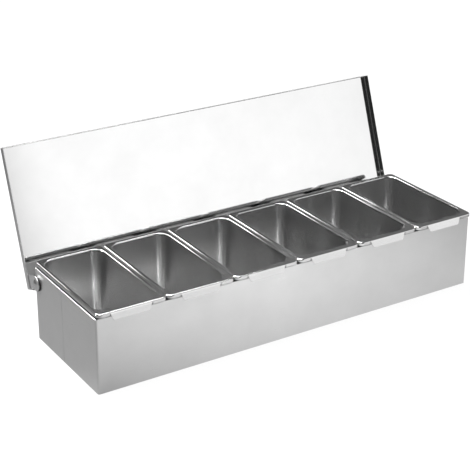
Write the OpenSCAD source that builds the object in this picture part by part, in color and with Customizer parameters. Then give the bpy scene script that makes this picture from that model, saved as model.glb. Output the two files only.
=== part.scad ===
// Long steel caddy: an open-topped box with six lift-out pans in a row and one
// shallow lid that swings on two side rivets and leans back on the rear wall.
// Millimetres. Origin at the centre of the base underside, X along the row of
// pans, Y towards the hinge side, Z up. The lid is drawn open.

/* [Box] */
// length of the box over its side walls
box_length = 493; // [480:1:500]
// depth of the box over its front and rear walls
box_depth = 147; // [145:0.5:150]
// height of the walls
box_height = 86.4; // [84:0.2:87.4]
// thickness of the box sheet
box_sheet = 0.8; // [0.6:0.1:1]
// outside radius of the upright corners
box_corner_radius = 2.4; // [2.2:0.1:4]
// depth of the folded hem inside the top edge
hem_depth = 6; // [4:0.5:8]
// place of the side seams behind the middle of the box
seam_offset = 7; // [-10:1:20]
// gap left between the two wraps at a seam
seam_gap = 0.3; // [0.1:0.1:0.6]
// radius of the relief cut at the top of a seam
seam_relief_radius = 1.3; // [0.8:0.1:2]
// width of the strap welded inside each seam
strap_width = 16; // [10:1:24]
// thickness of the seam straps
strap_sheet = 0.8; // [0.5:0.1:1]
// corner radius of the seam straps
strap_corner_radius = 2; // [1:0.5:4]
// height of the upturned edge of the base
base_edge_height = 10; // [6:1:14]
// outside radius of the bend round the base
base_bend_radius = 1.6; // [1.2:0.1:2]
// length left out of the upturned edge at each corner
base_corner_relief = 4; // [3:0.5:8]
// gap between the base edge and the walls it is welded to
base_seat_gap = 0.02; // [0.01:0.01:0.1]
// gap between a seam strap and the edges above and below it
strap_end_gap = 1; // [0.5:0.1:2]

/* [Pans] */
// gap between the rims of neighbouring pans
pan_gap = 1; // [0.6:0.1:1.4]
// width of the rim beside the mouth
side_rim = 5.3; // [5:0.1:6]
// distance the rim reaches in front of the box
rim_front_overhang = 4.4; // [4:0.1:5]
// distance the rim reaches behind the box
rim_rear_overhang = 1; // [0.8:0.1:1.2]
// height of the rim above the top edge of the box
rim_rise = 6.6; // [6:0.1:7]
// gap between a pan and the front hem
pan_front_gap = 0.2; // [0.2:0.1:1]
// gap between a pan and the rear hem
pan_rear_gap = 3; // [2:0.1:3.4]
// thickness of the pan sheet
pan_sheet = 0.7; // [0.5:0.1:0.9]
// inside radius of the upright corners at the mouth
mouth_corner_radius = 12.8; // [11.8:0.1:14]
// draft of the pan walls
pan_draft = 3; // [1.5:0.25:3]
// inside radius where the walls turn into the floor
floor_bend_radius = 7; // [5:0.5:7]
// radius of the bend between rim and wall
mouth_bend_radius = 1.4; // [1:0.1:2]
// outside radius of the bend between rim and lip
lip_bend_radius = 1.5; // [1.2:0.1:2]
// depth of the turned-down lip
lip_depth = 3.8; // [3:0.1:4.5]
// outside corner radius of the rim
rim_corner_radius = 6; // [4:0.5:8]
// left end of the front tab from the pan middle
tab_left = 26.1; // [22:0.1:28]
// right end of the front tab from the pan middle
tab_right = 22.9; // [18:0.1:26]
// slope of the front tab below level
tab_slope = 55; // [45:1:65]
// length of the front tab down its slope
tab_reach = 8; // [6:0.1:8.2]
// distance the right end of the tab leans in
tab_lean = 6; // [4:0.5:10]
// distance the left end of the tab leans in
tab_left_lean = 1.5; // [0.5:0.5:4]
// corner radius of the front tab
tab_corner_radius = 2; // [1:0.25:2.5]
// slit between the tab and the lip beside it
tab_slit = 0.3; // [0.2:0.1:1.5]

/* [Lid] */
// thickness of the lid sheet
lid_sheet = 0.7; // [0.6:0.05:0.8]
// gap between the closed lid and the pan rims below it
lid_rim_gap = 0.9; // [0.8:0.1:1.2]
// gap between the closed lid and the pan rims behind
lid_rear_gap = 1.1; // [1:0.1:1.5]
// gap between the closed lid and the front tabs
lid_front_gap = 0.8; // [0.6:0.1:2]
// distance from the box walls to the lid flanges outside
lid_overhang = 3.2; // [3:0.1:4]
// depth of the side and front flanges
lid_flange = 8.7; // [7:0.1:10]
// outside radius of the bends round the lid
lid_bend_radius = 1.8; // [1.4:0.1:2.4]
// outside radius of the lid's outer corners
lid_corner_radius = 1.6; // [1.2:0.1:3]
// angle the open lid leans back from upright
lid_lean = 19.3; // [17:0.1:21]
// gap between the open lid and the rear wall
lid_stop_gap = 0.05; // [0.02:0.01:0.2]

/* [Hinge] */
// depth of the hinge line below the top edge of the box
pivot_drop = 17.4; // [16.4:0.2:18.4]
// distance of the hinge line inside the rear wall face
pivot_inset = 5.4; // [5:0.1:6]
// thickness of the hinge ears
ear_sheet = 0.9; // [0.7:0.1:1.1]
// radius of the ear round the rivet
ear_radius = 8.6; // [7:0.1:9]
// gap between the ear and the bends round it
ear_bend_gap = 0.3; // [0.2:0.1:0.8]
// radius of the rivet shank
rivet_radius = 2; // [1.5:0.1:2.5]
// radial clearance of the rivet in the ear
rivet_clearance = 0.05; // [0.02:0.01:0.09]
// radius of the rivet head
rivet_head_radius = 4.8; // [4:0.1:5.5]
// height of the rivet head
rivet_head_height = 1.8; // [1:0.1:2.5]
// radius of the formed rivet end inside the box
rivet_tail_radius = 2.9; // [2.5:0.1:2.95]
// height of the formed rivet end
rivet_tail_height = 1.2; // [0.8:0.1:1.6]
// radius of the spacer washer
spacer_radius = 9; // [7:0.1:10]
// gap between turning faces along the hinge line
hinge_end_gap = 0.05; // [0.02:0.01:0.1]

/* [Hidden] */
$fn = 64;
eps = 0.01;
// length that joined stretches of one sheet overlap
lap = 0.3;
// length that a cutting shape reaches past what it cuts
beyond = 1;
// derived sizes of the lid and the row of pans are set to a whole step
steps_per_mm = 10;
// depth that the straight ends of a tab run into its round corners
tab_blend = 0.02;
pan_count = 6;
half_length = box_length / 2;
half_depth = box_depth / 2;
base_top = box_sheet;
hem_thickness = 2 * box_sheet;
strap_bottom = base_edge_height + strap_end_gap;
strap_top = box_height - hem_depth - strap_end_gap;
// rim of a pan, shared out over the box
pan_pitch = round(steps_per_mm * box_length / pan_count) / steps_per_mm;
pan_width = pan_pitch - pan_gap;
pan_length = box_depth + rim_front_overhang + rim_rear_overhang;
rim_middle = (rim_rear_overhang - rim_front_overhang) / 2;
rim_top = box_height + rim_rise;
// mouth of a pan, measured inside
mouth_width = pan_width - 2 * side_rim;
mouth_front = half_depth - hem_thickness - pan_front_gap - pan_sheet;
mouth_rear = half_depth - hem_thickness - pan_rear_gap - pan_sheet;
mouth_length = mouth_front + mouth_rear;
mouth_middle = (mouth_rear - mouth_front) / 2;
body_top = rim_top - mouth_bend_radius;
// tip of the front tabs, measured forward of the box middle
tab_root = half_depth + rim_front_overhang - lip_bend_radius;
tab_tip = tab_root + lip_bend_radius * sin(tab_slope) + tab_reach * cos(tab_slope);
// hinge line, and the lid drawn closed round the pan rims
pivot_y = half_depth - pivot_inset;
pivot_height = box_height - pivot_drop;
lid_turn = 90 + lid_lean;
pivot_to_lid = rim_top + lid_rim_gap + lid_sheet - pivot_height;
lid_behind_pivot = pivot_inset + rim_rear_overhang + lid_rear_gap + lid_sheet;
skirt_room = pivot_inset + lid_stop_gap + lid_behind_pivot * sin(lid_lean);
skirt_depth = pivot_to_lid - skirt_room / cos(lid_lean);
lid_half_length = half_length + lid_overhang;
lid_rear = pivot_y + lid_behind_pivot;
lid_front = -round(steps_per_mm * (tab_tip + lid_front_gap + lid_sheet)) / steps_per_mm;
lid_top = pivot_height + pivot_to_lid;
ear_outer_x = lid_half_length - lid_sheet;
ear_inner_x = ear_outer_x - ear_sheet;
spacer_thickness = ear_inner_x - half_length - hinge_end_gap;
// corner axes of the pan walls
wall_axis_x = mouth_width / 2 - mouth_corner_radius;
wall_axis_y = mouth_length / 2 - mouth_corner_radius;
// bend centres of the wall section, X out from the corner axes
bend_x = mouth_corner_radius + mouth_bend_radius * (1 - sin(pan_draft)) / cos(pan_draft);
mouth_wall_x = bend_x - mouth_bend_radius * cos(pan_draft);
mouth_wall_z = body_top + mouth_bend_radius * sin(pan_draft);
floor_z = base_top + pan_sheet;
floor_wall_z = floor_z + floor_bend_radius * (1 - sin(pan_draft));
floor_wall_x = mouth_wall_x - (mouth_wall_z - floor_wall_z) * tan(pan_draft);
floor_bend_x = floor_wall_x - floor_bend_radius * cos(pan_draft);
wall_run = (mouth_wall_z - floor_wall_z) / cos(pan_draft);

steel = [0.74, 0.75, 0.76];
mirror_steel = [0.86, 0.87, 0.88];
black_rubber = [0.05, 0.05, 0.05];

// ---------- shared shapes ----------

// rectangle centred on the origin with round corners
module round_rect(width, depth, radius) {
  square([width - 2 * radius, depth], center = true);
  square([width, depth - 2 * radius], center = true);
  for (x = [-1, 1], y = [-1, 1])
    translate([x * (width / 2 - radius), y * (depth / 2 - radius)])
      circle(r = radius);
}

// part of a ring between two angles that are less than 90 degrees apart
module ring_part(outer, inner, from, to) {
  reach = 3 * outer;
  intersection() {
    difference() {
      circle(r = outer);
      circle(r = inner);
    }
    polygon([
      [0, 0],
      [reach * cos(from), reach * sin(from)],
      [reach * cos((from + to) / 2), reach * sin((from + to) / 2)],
      [reach * cos(to), reach * sin(to)]
    ]);
  }
}

// stand a drawing up on the X axis and draw it out to length, centred
module run_along_x(length) {
  rotate([90, 0, 90])
    linear_extrude(height = length, center = true) children();
}

// carry a section round a rectangle: its X is the distance out from the
// corner axes, which stand half_x and half_y from the origin
module sweep_round(half_x, half_y, sides = [0, 1, 2, 3]) {
  for (side = sides) {
    across = side % 2 == 0 ? half_x : half_y;
    run = side % 2 == 0 ? half_y : half_x;
    rotate([0, 0, 90 * side])
      translate([across, 0, 0])
        rotate([90, 0, 0])
          linear_extrude(height = 2 * run, center = true) children();
  }
  for (x = [0, 1], y = [0, 1])
    translate([(2 * x - 1) * half_x, (2 * y - 1) * half_y, 0])
      rotate([0, 0, x == 1 ? (y == 1 ? 0 : 270) : (y == 1 ? 90 : 180)])
        rotate_extrude(angle = 90) children();
}

// ---------- box ----------

// wall section: outer face at X = corner radius, hem folded inwards
module wall_section() {
  outer = box_corner_radius;
  translate([outer - box_sheet, 0])
    square([box_sheet, box_height - box_sheet]);
  translate([outer - hem_thickness, box_height - hem_depth])
    square([hem_thickness, hem_depth - box_sheet]);
  translate([outer - box_sheet, box_height - box_sheet])
    circle(r = box_sheet);
}

// one wrap seen from above: end wall, two round corners, two side walls
module wrap(side_run) {
  axis_x = half_length - box_corner_radius;
  translate([0, -half_depth + box_corner_radius, 0])
    rotate([90, 0, 270])
      linear_extrude(height = 2 * axis_x, center = true) wall_section();
  for (x = [-1, 1])
    translate([x * axis_x, -half_depth + box_corner_radius, 0])
      rotate([0, 0, x == 1 ? 270 : 180])
        rotate_extrude(angle = 90) wall_section();
  for (x = [-1, 1])
    translate([x * axis_x, -half_depth + box_corner_radius + side_run / 2, 0])
      rotate([90, 0, x == 1 ? 0 : 180])
        linear_extrude(height = side_run, center = true) wall_section();
}

// round relief cut through both side walls at the top of the seams
module seam_relief(seam_y) {
  translate([0, seam_y, box_height])
    rotate([0, 90, 0])
      cylinder(r = seam_relief_radius, h = box_length + 2 * beyond, center = true);
}

module front_wrap() {
  color(steel)
    difference() {
      wrap(half_depth - box_corner_radius + seam_offset - seam_gap / 2);
      seam_relief(seam_offset);
    }
}

module rear_wrap() {
  color(steel)
    difference() {
      rotate([0, 0, 180])
        wrap(half_depth - box_corner_radius - seam_offset - seam_gap / 2);
      seam_relief(seam_offset);
      translate([0, pivot_y, pivot_height])
        rotate([0, 90, 0])
          cylinder(r = rivet_radius + rivet_clearance, h = box_length + 2 * beyond, center = true);
    }
}

// upturned edge of the base with its bend, for a side of the given length
module base_edge(length, reach) {
  outer = base_bend_radius;
  inner = base_bend_radius - box_sheet;
  run_along_x(length) {
    translate([reach - outer, outer])
      ring_part(outer, inner, -90, 0);
    translate([reach - box_sheet, outer])
      square([box_sheet, base_edge_height - outer]);
    translate([reach - outer - lap, 0])
      square([lap, box_sheet]);
  }
}

module base_panel() {
  inside_x = half_length - box_sheet - base_seat_gap;
  inside_y = half_depth - box_sheet - base_seat_gap;
  side = 2 * (inside_y - base_corner_relief);
  end = 2 * (inside_x - base_corner_relief);
  color(steel)
    union() {
      translate([0, 0, box_sheet / 2])
        cube([
          2 * (inside_x - base_bend_radius),
          2 * (inside_y - base_bend_radius),
          box_sheet
        ], center = true);
      for (turn = [0, 180])
        rotate([0, 0, turn]) base_edge(end, inside_y);
      for (turn = [90, 270])
        rotate([0, 0, turn]) base_edge(side, inside_x);
    }
}

module seam_strap(side) {
  middle = (strap_top + strap_bottom) / 2;
  color(steel)
    translate([side * (half_length - box_sheet - strap_sheet / 2), seam_offset, middle])
      rotate([90, 0, 90])
        linear_extrude(height = strap_sheet, center = true)
          round_rect(strap_width, strap_top - strap_bottom, strap_corner_radius);
}

// ---------- hinge ----------

// turn a drawing about the hinge line, its Y axis pointing out of the box
module turned_on_hinge(side) {
  translate([0, pivot_y, pivot_height])
    rotate([0, side * 90, 0])
      rotate_extrude() children();
}

// domed head, shank through ear, spacer and wall, and formed end inside
module hinge_rivet(side) {
  head_base = ear_outer_x + hinge_end_gap;
  wall_inside = half_length - box_sheet;
  dome_radius = (rivet_head_radius ^ 2 + rivet_head_height ^ 2) / (2 * rivet_head_height);
  color(steel)
    turned_on_hinge(side) {
      intersection() {
        translate([0, head_base + rivet_head_height - dome_radius]) circle(r = dome_radius);
        translate([0, head_base]) square([rivet_head_radius, rivet_head_height + beyond]);
      }
      translate([0, wall_inside - eps]) square([rivet_radius, head_base - wall_inside + 2 * eps]);
      translate([0, wall_inside - rivet_tail_height])
        square([rivet_tail_radius, rivet_tail_height]);
    }
}

module spacer_washer(side) {
  hole = rivet_radius + rivet_clearance;
  rounding = spacer_thickness / 4;
  color(black_rubber)
    turned_on_hinge(side)
      translate([hole, half_length]) {
        square([spacer_radius - hole - rounding, spacer_thickness]);
        translate([0, rounding])
          square([spacer_radius - hole, spacer_thickness - 2 * rounding]);
        for (level = [rounding, spacer_thickness - rounding])
          translate([spacer_radius - hole - rounding, level]) circle(r = rounding);
      }
}

// ---------- lid ----------

// swing a shape drawn closed to the open position
module opened() {
  translate([0, pivot_y, pivot_height])
    rotate([-lid_turn, 0, 0])
      translate([0, -pivot_y, -pivot_height]) children();
}

// block with its top edges and upright corners rounded
module soft_block(half_x, front, rear, bottom, top, edge, corner) {
  depth = rear - front;
  height = top - bottom;
  translate([0, (front + rear) / 2, bottom])
    intersection() {
      linear_extrude(height = height) round_rect(2 * half_x, depth, corner);
      rotate([90, 0, 0])
        linear_extrude(height = depth + 2 * beyond, center = true)
          translate([0, -edge]) round_rect_up(2 * half_x, height + edge, edge);
      rotate([90, 0, 90])
        linear_extrude(height = 2 * (half_x + beyond), center = true)
          translate([0, -edge]) round_rect_up(depth, height + edge, edge);
    }
}

// rectangle standing on the X axis, its corners rounded
module round_rect_up(width, height, radius) {
  translate([0, height / 2]) round_rect(width, height, radius);
}

module lid_tray() {
  color(mirror_steel)
    opened()
      difference() {
        soft_block(
          lid_half_length, lid_front, lid_rear, lid_top - skirt_depth, lid_top,
          lid_bend_radius, lid_corner_radius
        );
        soft_block(
          lid_half_length - lid_sheet, lid_front + lid_sheet, lid_rear - lid_sheet,
          lid_top - skirt_depth - beyond, lid_top - lid_sheet,
          lid_bend_radius - lid_sheet, lid_corner_radius - lid_sheet
        );
        translate([
          -lid_half_length - beyond, lid_front - beyond, lid_top - skirt_depth - beyond
        ])
          cube([
            2 * (lid_half_length + beyond),
            lid_rear - lid_front + beyond - lid_bend_radius,
            skirt_depth - lid_flange + beyond
          ]);
      }
}

// flat ear inside the side flange, round about the rivet
module hinge_ear(side) {
  rear_edge = lid_behind_pivot - lid_corner_radius - ear_bend_gap;
  top_edge = pivot_to_lid - lid_bend_radius - ear_bend_gap;
  color(mirror_steel)
    opened()
      translate([side * (ear_outer_x - ear_sheet / 2), pivot_y, pivot_height])
        rotate([90, 0, 90])
          linear_extrude(height = ear_sheet, center = true)
            difference() {
              union() {
                circle(r = ear_radius);
                translate([-ear_radius, 0]) square([ear_radius + rear_edge, top_edge]);
              }
              circle(r = rivet_radius + rivet_clearance);
            }
}

// ---------- pans ----------

// wall section: bend at the mouth, drafted wall, bend into the floor
module pan_wall_section() {
  translate([bend_x, body_top])
    ring_part(mouth_bend_radius, mouth_bend_radius - pan_sheet, 90, 180 - pan_draft);
  translate([floor_wall_x, floor_wall_z])
    rotate(-pan_draft)
      translate([0, -eps]) square([pan_sheet, wall_run + 2 * eps]);
  translate([floor_bend_x, floor_z + floor_bend_radius])
    ring_part(floor_bend_radius + pan_sheet, floor_bend_radius, -90, -pan_draft);
  translate([bend_x, rim_top - pan_sheet]) square([lap, pan_sheet]);
  translate([floor_bend_x - lap, base_top]) square([lap, pan_sheet]);
}

// flat rim between the mouth bend and the lip bend
module pan_rim_plate() {
  mouth_x = wall_axis_x + bend_x;
  mouth_y = wall_axis_y + bend_x;
  translate([0, 0, rim_top - pan_sheet])
    linear_extrude(height = pan_sheet)
      difference() {
        translate([0, rim_middle])
          round_rect(
            pan_width - 2 * lip_bend_radius, pan_length - 2 * lip_bend_radius,
            rim_corner_radius - lip_bend_radius
          );
        translate([0, mouth_middle]) round_rect(2 * mouth_x, 2 * mouth_y, bend_x);
      }
}

// lip section, X out from the corner axes of the rim
module lip_section() {
  translate([rim_corner_radius - lip_bend_radius, rim_top - lip_bend_radius])
    ring_part(lip_bend_radius, lip_bend_radius - pan_sheet, 0, 90);
  translate([rim_corner_radius - pan_sheet, rim_top - lip_depth])
    square([pan_sheet, lip_depth - lip_bend_radius]);
  translate([rim_corner_radius - lip_bend_radius - lap, rim_top - pan_sheet])
    square([lap, pan_sheet]);
}

// lip all round, with the front left open for the tab
module pan_lip() {
  axis_x = pan_width / 2 - rim_corner_radius;
  axis_y = pan_length / 2 - rim_corner_radius;
  open_left = -tab_left - tab_slit;
  open_right = tab_right + tab_slit;
  sweep_round(axis_x, axis_y, [0, 1, 2]) lip_section();
  for (span = [[-axis_x, open_left], [open_right, axis_x]])
    translate([(span[0] + span[1]) / 2, -axis_y, 0])
      rotate([90, 0, 270])
        linear_extrude(height = span[1] - span[0], center = true) lip_section();
}

// distance from a corner of the tab to the axis of its rounding, along the tip
function tab_corner_run(lean) = tab_corner_radius * tan(atan2(tab_reach, lean) / 2);

// where the leaning end of the tab runs into its rounding, from that axis
function tab_end_point(lean) =
  (tab_corner_radius - tab_blend) / norm([lean, tab_reach]) * [tab_reach, lean];

// outline of the tab: X along the rim, Y down the slope
module tab_outline() {
  axis_y = tab_reach - tab_corner_radius;
  left_x = -tab_left + tab_left_lean + tab_corner_run(tab_left_lean);
  right_x = tab_right - tab_lean - tab_corner_run(tab_lean);
  left_end = tab_end_point(tab_left_lean);
  right_end = tab_end_point(tab_lean);
  polygon([
    [-tab_left, 0],
    [tab_right, 0],
    [right_x + right_end[0], axis_y + right_end[1]],
    [right_x, tab_reach],
    [left_x, tab_reach],
    [left_x - left_end[0], axis_y + left_end[1]]
  ]);
  for (x = [left_x, right_x])
    translate([x, axis_y]) circle(r = tab_corner_radius);
}

// tab that slopes down and out from the front of the rim
module pan_tab() {
  bend_y = -tab_root;
  bend_z = rim_top - lip_bend_radius;
  width = tab_left + tab_right;
  translate([(tab_right - tab_left) / 2, bend_y, bend_z])
    rotate([90, 0, 270])
      linear_extrude(height = width, center = true) {
        ring_part(lip_bend_radius, lip_bend_radius - pan_sheet, 90 - tab_slope, 90);
        translate([-lap, lip_bend_radius - pan_sheet]) square([lap, pan_sheet]);
      }
  translate([0, bend_y, bend_z])
    rotate([tab_slope, 0, 0])
      translate([0, 0, lip_bend_radius - pan_sheet])
        linear_extrude(height = pan_sheet)
          mirror([0, 1]) tab_outline();
}

module pan(number) {
  floor_half_x = wall_axis_x + floor_bend_x;
  floor_half_y = wall_axis_y + floor_bend_x;
  place = (number - (pan_count + 1) / 2) * pan_pitch;
  color(steel)
    translate([place, 0, 0])
      union() {
        translate([0, mouth_middle, 0]) {
          sweep_round(wall_axis_x, wall_axis_y) pan_wall_section();
          translate([0, 0, base_top])
            linear_extrude(height = pan_sheet)
              round_rect(2 * floor_half_x, 2 * floor_half_y, floor_bend_x);
        }
        pan_rim_plate();
        translate([0, rim_middle, 0]) pan_lip();
        pan_tab();
      }
}

front_wrap();
rear_wrap();
base_panel();
seam_strap(-1);  // seam_strap_left
seam_strap(1);  // seam_strap_right
hinge_rivet(-1);  // hinge_rivet_left
hinge_rivet(1);  // hinge_rivet_right
spacer_washer(-1);  // spacer_washer_left
spacer_washer(1);  // spacer_washer_right
lid_tray();
hinge_ear(-1);  // hinge_ear_left
hinge_ear(1);  // hinge_ear_right
pan(1);  // pan_1
pan(2);  // pan_2
pan(3);  // pan_3
pan(4);  // pan_4
pan(5);  // pan_5
pan(6);  // pan_6
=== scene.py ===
import math

import bpy
from mathutils import Matrix, Vector

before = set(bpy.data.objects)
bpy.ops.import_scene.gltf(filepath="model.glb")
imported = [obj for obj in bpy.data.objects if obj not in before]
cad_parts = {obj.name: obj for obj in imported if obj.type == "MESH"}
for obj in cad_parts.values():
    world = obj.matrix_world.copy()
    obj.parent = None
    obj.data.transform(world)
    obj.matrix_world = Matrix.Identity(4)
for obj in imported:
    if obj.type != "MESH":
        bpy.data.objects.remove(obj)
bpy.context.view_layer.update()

# Places, lengths and bump depths are in metres, angles in degrees and lamp powers in watts.
# Greys and glows are linear levels in which 1 is white. The closeness of a noise is its
# number of features in a metre along X, Y and Z.

# ---- Camera: the photograph's place, direction and lens ----
IMAGE_SIZE = 470                    # pixels, both ways
SENSOR = 36.0                       # millimetres
CAMERA_PLACE = (-0.77155, -1.17214, 0.72067)
CAMERA_AZIMUTH = 31.983
CAMERA_ELEVATION = 21.779
CAMERA_ROLL = -0.066
CAMERA_REACH = (0.05, 50.0)
FOCAL_PIXELS = 1353.149
AXIS_PIXEL = (231.007, 180.669)     # where the lens axis meets the picture

# ---- Floor: its own light, seen by the metal, is a pool that fades outwards ----
FLOOR_HALF = 4.0
FLOOR_DROP = 0.0003
FLOOR_GLOW = 0.93
FLOOR_WHITE = (1.0, 1.0, 1.0)
POOL_CENTRE = (0.06, -0.25, 0.0)
POOL_REACH = 1.0
POOL_STEPS = ((0.05, 1.01), (0.24, 0.74), (0.40, 0.36), (0.65, 0.30), (1.0, 0.12))

# ---- Lamps: place, width and height, and power of each ----
LAMP_AIM = (0.0, 0.0, 0.08)
SOFTBOX = ((-0.35, -0.15, 1.5), (0.8, 0.8), 14.0)
REAR_LAMP = ((0.20, 0.75, 1.40), (1.2, 0.6), 19.0)
SIDE_LAMP = ((-0.85, 0.75, 1.05), (0.4, 0.4), 60.0)

# ---- World: the panel and the dark camera side that the metal sees ----
# A pair of angles is where a patch ends and where it is full. A top is the pair of heights,
# on a sphere of radius 1, between which a patch fades out.
PANEL_DIRECTION = (0.81, -0.587, 0.0)
PANEL_ANGLES = (37.0, 31.0)
PANEL_TOP = (0.62, 0.66)
PANEL_GLOW = 1.40
PANEL_CORE_ANGLES = (26.0, 10.0)
PANEL_CORE_GLOW = 1.24
CAMERA_SIDE = (-0.53, -0.85, 0.0)
CAMERA_SIDE_ANGLES = (38.0, 22.0)
CAMERA_SIDE_TOP = (0.45, 0.75)
WALL_GREY = 0.18
DARK_GREY = 0.03
DIFFUSE_LEVEL = 0.85
LEVEL_ONLY = (1.0, 1.0, 0.0)

# ---- Places on the object that its materials follow ----
RIM_LEVEL = (0.0905, 0.0918)        # heights between which a pan's inside turns into its rim
RIM_SMOOTHNESS = 0.5                # share of the inside's roughness that the rim has
TRAY_MIDDLE = (0.0, 0.1103, 0.1263)
TRAY_EDGE = 0.0005                  # half the blend between the tray's inside and outside
MIRROR_SHARE = 0.25                 # share of the outside's roughness that the inside has
HINGE_LINE = (0.0, 0.0681, 0.069)
ACROSS_HINGE = (0.0, 1.0, 1.0)
PAN_COUNT = 6

# ---- What all the sheet steels share ----
NOISE_ROUGHNESS = 0.6
NOISE_SPREAD = (0.3, 0.7)           # noise values at which a range reaches its two ends
GRAIN_DETAIL = 4.0
CLOUD_CLOSENESS = (14.0, 14.0, 14.0)
CLOUD_DETAIL = 5.0
CLOUD_SHARE = 0.4                   # of the roughness; the brushing has the rest
SCRATCH_DETAIL = 2.0
SCRATCH_EDGE = (0.66, 0.74)         # noise values between which a scratch begins
GRAIN_STRENGTH = 0.35
SCRATCH_STRENGTH = 0.3

# ---- Rivets ----
TURNING_RINGS = 9000.0              # radians of turning marks in a metre from the hinge line
RING_STRENGTH = 0.2
RING_DEPTH = 0.000004

# ---- Rubber ----
RUBBER_GRAIN = (1800.0, 1800.0, 1800.0)
RUBBER_BLOOM = (220.0, 220.0, 220.0)
BLOOM_SPREAD = (0.4, 0.7)
RUBBER_TONE = (0.010, 0.028)
RUBBER_ROUGHNESS = (0.50, 0.68)
RUBBER_STRENGTH = 0.4
RUBBER_DEPTH = 0.00003


# ---- Node helpers ----
def emptied_tree(owner, output_kind):
    """The emptied node tree of a material or a world, and the output node it gets."""
    owner.use_nodes = True
    tree = owner.node_tree
    tree.nodes.clear()
    return tree, tree.nodes.new(output_kind)


def new_material(name):
    """A material with an output node alone in its tree."""
    material = bpy.data.materials.new(name)
    tree, output = emptied_tree(material, "ShaderNodeOutputMaterial")
    return material, tree, output


def node(tree, kind, **values):
    """A new node with its settings and its inputs' values."""
    made = tree.nodes.new(kind)
    for key, value in values.items():
        if hasattr(made, key) and key not in made.inputs:
            setattr(made, key, value)
        else:
            made.inputs[key].default_value = value
    return made


def join(tree, source, target, out=0, into=0):
    """Links an output of source to an input of target, and gives target back."""
    tree.links.new(source.outputs[out], target.inputs[into])
    return target


def value_range(tree, source, came, given, smooth=False, out=0):
    """Maps the pair of values that came onto the pair given, and holds what lies beyond."""
    made = tree.nodes.new("ShaderNodeMapRange")
    made.interpolation_type = "SMOOTHSTEP" if smooth else "LINEAR"
    for slot, value in enumerate((*came, *given), 1):
        made.inputs[slot].default_value = value
    return join(tree, source, made, out)


def maths(tree, operation, first, second=None):
    """A math node on a node and, where it takes one, a second node or plain number."""
    made = node(tree, "ShaderNodeMath", operation=operation)
    join(tree, first, made)
    if isinstance(second, float):
        made.inputs[1].default_value = second
    elif second is not None:
        join(tree, second, made, 0, 1)
    return made


def vector_maths(tree, operation, source, fixed, out=0):
    """A vector math node on an output of source and a fixed vector."""
    made = node(tree, "ShaderNodeVectorMath", operation=operation)
    made.inputs[1].default_value = fixed
    return join(tree, source, made, out)


def colour_mix(tree, factor, first, second, out=0):
    """A colour between first and second; each is a grey, a colour or a node. An output of
    the factor node sets how much of second there is."""
    made = node(tree, "ShaderNodeMix", data_type="RGBA")
    join(tree, factor, made, out)
    for slot, item in ((6, first), (7, second)):
        if isinstance(item, float):
            made.inputs[slot].default_value = (*grey(item), 1.0)
        elif isinstance(item, tuple):
            made.inputs[slot].default_value = (*item, 1.0)
        elif item.bl_idname == "ShaderNodeMix":
            join(tree, item, made, 2, slot)
        else:
            join(tree, item, made, 0, slot)
    return made


def grey(value):
    """The colour of a grey level."""
    return (value, value, value)


def towards(tree, bearing, direction, angles):
    """0 where a bearing is beyond the first angle from the direction, 1 within the second."""
    axis = Vector(direction).normalized()
    closeness = vector_maths(tree, "DOT_PRODUCT", bearing, axis)
    cosines = [math.cos(math.radians(angle)) for angle in angles]
    return value_range(tree, closeness, cosines, (0.0, 1.0), smooth=True, out=1)


# ---- Camera ----
def build_camera():
    """The photograph's camera."""
    azimuth = math.radians(CAMERA_AZIMUTH)
    elevation = math.radians(CAMERA_ELEVATION)
    roll = math.radians(CAMERA_ROLL)
    ahead = Vector((math.sin(azimuth) * math.cos(elevation),
                    math.cos(azimuth) * math.cos(elevation), -math.sin(elevation)))
    right = Vector((math.cos(azimuth), -math.sin(azimuth), 0.0))
    up = right.cross(ahead)
    axis_x = right * math.cos(roll) + up * math.sin(roll)
    axis_y = up * math.cos(roll) - right * math.sin(roll)
    camera = bpy.data.cameras.new("camera")
    camera.sensor_width = SENSOR
    camera.sensor_fit = "HORIZONTAL"
    camera.lens = FOCAL_PIXELS / IMAGE_SIZE * SENSOR
    camera.shift_x = (IMAGE_SIZE / 2 - AXIS_PIXEL[0]) / IMAGE_SIZE
    camera.shift_y = (AXIS_PIXEL[1] - IMAGE_SIZE / 2) / IMAGE_SIZE
    camera.clip_start, camera.clip_end = CAMERA_REACH
    camera.dof.use_dof = False
    place = Matrix((axis_x, axis_y, -ahead)).transposed().to_4x4()
    place.translation = Vector(CAMERA_PLACE)
    holder = bpy.data.objects.new("camera", camera)
    holder.matrix_world = place
    bpy.context.scene.collection.objects.link(holder)
    bpy.context.scene.camera = holder


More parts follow.
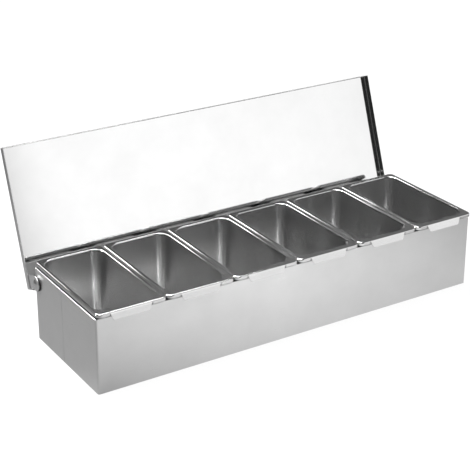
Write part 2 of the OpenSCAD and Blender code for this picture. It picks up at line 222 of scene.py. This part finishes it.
# ---- Studio ----
def build_world():
    """White to the camera and a plain grey to matt surfaces. What the metal sees is a grey
    room with a bright panel at the front right, whose middle is dimmer, and a dark patch
    on the camera's side."""
    world = bpy.data.worlds.new("studio")
    bpy.context.scene.world = world
    tree, output = emptied_tree(world, "ShaderNodeOutputWorld")
    direction = node(tree, "ShaderNodeTexCoord")
    parts = join(tree, direction, node(tree, "ShaderNodeSeparateXYZ"))
    level = vector_maths(tree, "MULTIPLY", direction, LEVEL_ONLY)
    around = join(tree, level, node(tree, "ShaderNodeVectorMath", operation="NORMALIZE"))
    wide = towards(tree, around, PANEL_DIRECTION, PANEL_ANGLES)
    low = value_range(tree, parts, PANEL_TOP, (1.0, 0.0), smooth=True, out=2)
    panel = maths(tree, "MULTIPLY", wide, low)
    dark = towards(tree, around, CAMERA_SIDE, CAMERA_SIDE_ANGLES)
    near = value_range(tree, parts, CAMERA_SIDE_TOP, (1.0, 0.0), smooth=True, out=2)
    shade = maths(tree, "MULTIPLY", dark, near)
    walls = colour_mix(tree, shade, WALL_GREY, DARK_GREY)
    core = towards(tree, around, PANEL_DIRECTION, PANEL_CORE_ANGLES)
    glow = colour_mix(tree, core, PANEL_GLOW, PANEL_CORE_GLOW)
    studio = colour_mix(tree, panel, walls, glow)
    path = node(tree, "ShaderNodeLightPath")
    metal = colour_mix(tree, path, DIFFUSE_LEVEL, studio, "Is Glossy Ray")
    seen = colour_mix(tree, path, metal, FLOOR_WHITE, "Is Camera Ray")
    light = join(tree, seen, node(tree, "ShaderNodeBackground"), 2)
    join(tree, light, output)


def build_floor():
    """White to the camera. To the object it is a pool of light that fades outwards."""
    mesh = bpy.data.meshes.new("floor")
    side = FLOOR_HALF
    corners = [(-side, -side), (side, -side), (side, side), (-side, side)]
    mesh.from_pydata([Vector((x, y, -FLOOR_DROP)) for x, y in corners], [], [(0, 1, 2, 3)])
    floor = bpy.data.objects.new("floor", mesh)
    bpy.context.scene.collection.objects.link(floor)
    material, tree, output = new_material("studio_floor")
    place = node(tree, "ShaderNodeTexCoord")
    distance = vector_maths(tree, "DISTANCE", place, POOL_CENTRE, "Object")
    reach = value_range(tree, distance, (0.0, POOL_REACH), (0.0, 1.0), out=1)
    ramp = join(tree, reach, node(tree, "ShaderNodeValToRGB"))
    steps = ramp.color_ramp.elements
    for index, (position, value) in enumerate(POOL_STEPS):
        step = steps[index] if index < len(steps) else steps.new(position)
        step.position = position
        step.color = (*grey(value), 1.0)
    path = node(tree, "ShaderNodeLightPath")
    seen = colour_mix(tree, path, ramp, FLOOR_WHITE, "Is Camera Ray")
    matt = join(tree, seen, node(tree, "ShaderNodeBsdfDiffuse"), 2)
    glow = join(tree, seen, node(tree, "ShaderNodeEmission"), 2)
    mixed = node(tree, "ShaderNodeMixShader")
    mixed.inputs[0].default_value = FLOOR_GLOW
    join(tree, matt, mixed, 0, 1)
    join(tree, glow, mixed, 0, 2)
    join(tree, mixed, output)
    mesh.materials.append(material)


def add_lamp(name, place, size, power):
    """A soft oval lamp of the given width and height, turned towards the object."""
    light = bpy.data.lights.new(name, "AREA")
    light.shape = "ELLIPSE"
    light.size, light.size_y = size
    light.energy = power
    holder = bpy.data.objects.new(name, light)
    holder.location = place
    holder.rotation_mode = "QUATERNION"
    holder.rotation_quaternion = (Vector(place) - Vector(LAMP_AIM)).to_track_quat("Z", "Y")
    bpy.context.scene.collection.objects.link(holder)


# ---- Materials ----
def noise(tree, place, closeness, detail=GRAIN_DETAIL):
    """Noise with the given closeness; it is drawn out along the axes where that is small."""
    mapping = node(tree, "ShaderNodeMapping", Scale=closeness)
    join(tree, place, mapping, "Object")
    made = node(tree, "ShaderNodeTexNoise", Scale=1.0, Detail=detail, Roughness=NOISE_ROUGHNESS)
    return join(tree, mapping, made)


def add_bump(tree, shader, height, strength, depth, under=None):
    """A bump on the shader's normal, on top of another bump if one is given."""
    bump = node(tree, "ShaderNodeBump", Strength=strength, Distance=depth)
    join(tree, height, bump, 0, "Height")
    if under:
        join(tree, under, bump, 0, "Normal")
    join(tree, bump, shader, 0, "Normal")
    return bump


def weighted(tree, first, second, share):
    """A mean of two values in which the second has the given share."""
    part = maths(tree, "MULTIPLY", second, share)
    rest = maths(tree, "MULTIPLY", first, 1.0 - share)
    return maths(tree, "ADD", rest, part)


def steel(name, tone, roughness, grain, scratches, grain_depth, scratch_depth=0.00002,
          scratch_share=0.06):
    """Sheet steel. tone is its lightest and darkest grey, and roughness its lowest and
    highest, to which a scratch adds scratch_share. grain and scratches are the closeness of
    its brushing and of its scratches, and the depths are those of their bumps. It gives back
    the material, its tree, shader and coordinates, and the node that its roughness comes from."""
    material, tree, output = new_material(name)
    shader = node(tree, "ShaderNodeBsdfPrincipled", Metallic=1.0)
    place = node(tree, "ShaderNodeTexCoord")
    brushing = noise(tree, place, grain)
    cloud = noise(tree, place, CLOUD_CLOSENESS, CLOUD_DETAIL)
    marks = noise(tree, place, scratches, SCRATCH_DETAIL)
    scratch = value_range(tree, marks, SCRATCH_EDGE, (0.0, 1.0), smooth=True)
    shade = value_range(tree, cloud, NOISE_SPREAD, (0.0, 1.0))
    colour = colour_mix(tree, shade, *tone)
    join(tree, colour, shader, 2, "Base Color")
    both = weighted(tree, brushing, cloud, CLOUD_SHARE)
    rough = value_range(tree, both, NOISE_SPREAD, roughness)
    marked = maths(tree, "MULTIPLY_ADD", scratch, scratch_share)
    join(tree, rough, marked, 0, 2)
    join(tree, marked, shader, 0, "Roughness")
    under = add_bump(tree, shader, brushing, GRAIN_STRENGTH, grain_depth)
    add_bump(tree, shader, scratch, SCRATCH_STRENGTH, scratch_depth, under)
    join(tree, shader, output)
    return material, tree, shader, place, marked


def wall_steel():
    """Satin sheet, brushed level along each wall."""
    return steel("satin_steel", tone=(0.72, 0.66), roughness=(0.26, 0.38),
                 grain=(25.0, 25.0, 900.0), scratches=(6.0, 6.0, 1800.0),
                 grain_depth=0.00004)[0]


def pan_steel():
    """Drawn sheet with faint upright draw lines, smoother on the rim than inside the pan."""
    material, tree, shader, place, rough = steel(
        "pan_steel", tone=(0.66, 0.61), roughness=(0.20, 0.25),
        grain=(700.0, 700.0, 30.0), scratches=(1200.0, 1200.0, 9.0),
        grain_depth=0.000003, scratch_depth=0.000002, scratch_share=0.02)
    parts = join(tree, place, node(tree, "ShaderNodeSeparateXYZ"), "Object")
    inside = value_range(tree, parts, RIM_LEVEL, (1.0, RIM_SMOOTHNESS), out=2)
    smoother = maths(tree, "MULTIPLY", rough, inside)
    join(tree, smoother, shader, 0, "Roughness")
    return material


def lid_steel():
    """Mirror polished inside the tray, satin on its outside."""
    material, tree, shader, place, satin = steel(
        "polished_steel", tone=(0.735, 0.685), roughness=(0.28, 0.32),
        grain=(60.0, 900.0, 900.0), scratches=(9.0, 1500.0, 1500.0),
        grain_depth=0.000003, scratch_depth=0.000004)
    inward = node(tree, "ShaderNodeVectorMath", operation="SUBTRACT")
    inward.inputs[0].default_value = TRAY_MIDDLE
    join(tree, place, inward, "Object", 1)
    facing = join(tree, inward, node(tree, "ShaderNodeVectorMath", operation="DOT_PRODUCT"))
    join(tree, place, facing, "Normal", 1)
    outside = value_range(tree, facing, (-TRAY_EDGE, TRAY_EDGE), (1.0, MIRROR_SHARE), out=1)
    polished = maths(tree, "MULTIPLY", satin, outside)
    join(tree, polished, shader, 0, "Roughness")
    return material


def rivet_steel():
    """Smooth formed heads with faint turning rings about the hinge line."""
    material, tree, shader, place = steel(
        "rivet_steel", tone=(0.72, 0.66), roughness=(0.13, 0.20),
        grain=(300.0, 300.0, 300.0), scratches=(900.0, 900.0, 900.0),
        grain_depth=0.00001)[:4]
    flat = vector_maths(tree, "MULTIPLY", place, ACROSS_HINGE, "Object")
    away = vector_maths(tree, "DISTANCE", flat, HINGE_LINE)
    scaled = node(tree, "ShaderNodeMath", operation="MULTIPLY")
    scaled.inputs[1].default_value = TURNING_RINGS
    join(tree, away, scaled, "Value")
    rings = maths(tree, "SINE", scaled)
    add_bump(tree, shader, rings, RING_STRENGTH, RING_DEPTH)
    return material


def black_rubber():
    """Matt black rubber with a fine moulded grain and a dusty bloom."""
    material, tree, output = new_material("black_rubber")
    shader = node(tree, "ShaderNodeBsdfPrincipled", Metallic=0.0)
    place = node(tree, "ShaderNodeTexCoord")
    grain = noise(tree, place, RUBBER_GRAIN)
    bloom = noise(tree, place, RUBBER_BLOOM)
    dusty = value_range(tree, bloom, BLOOM_SPREAD, (0.0, 1.0))
    colour = colour_mix(tree, dusty, *RUBBER_TONE)
    join(tree, colour, shader, 2, "Base Color")
    rough = value_range(tree, grain, NOISE_SPREAD, RUBBER_ROUGHNESS)
    join(tree, rough, shader, 0, "Roughness")
    add_bump(tree, shader, grain, RUBBER_STRENGTH, RUBBER_DEPTH)
    join(tree, shader, output)
    return material


def dress(names, material):
    """Gives CAD nodes a material in their own slots."""
    for name in names:
        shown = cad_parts[name]
        if not shown.material_slots:
            shown.data.materials.append(material)
        for slot in shown.material_slots:
            slot.link = "OBJECT"
            slot.material = material


bpy.context.scene.view_settings.view_transform = "Standard"
build_camera()
build_world()
build_floor()
add_lamp("softbox", *SOFTBOX)
add_lamp("rear_lamp", *REAR_LAMP)
add_lamp("side_lamp", *SIDE_LAMP)

dress(("front_wrap", "rear_wrap", "base_panel", "seam_strap_left", "seam_strap_right",
       "hinge_ear_left", "hinge_ear_right"), wall_steel())
dress(["pan_%d" % number for number in range(1, PAN_COUNT + 1)], pan_steel())
dress(("lid_tray",), lid_steel())
dress(("hinge_rivet_left", "hinge_rivet_right"), rivet_steel())
dress(("spacer_washer_left", "spacer_washer_right"), black_rubber())
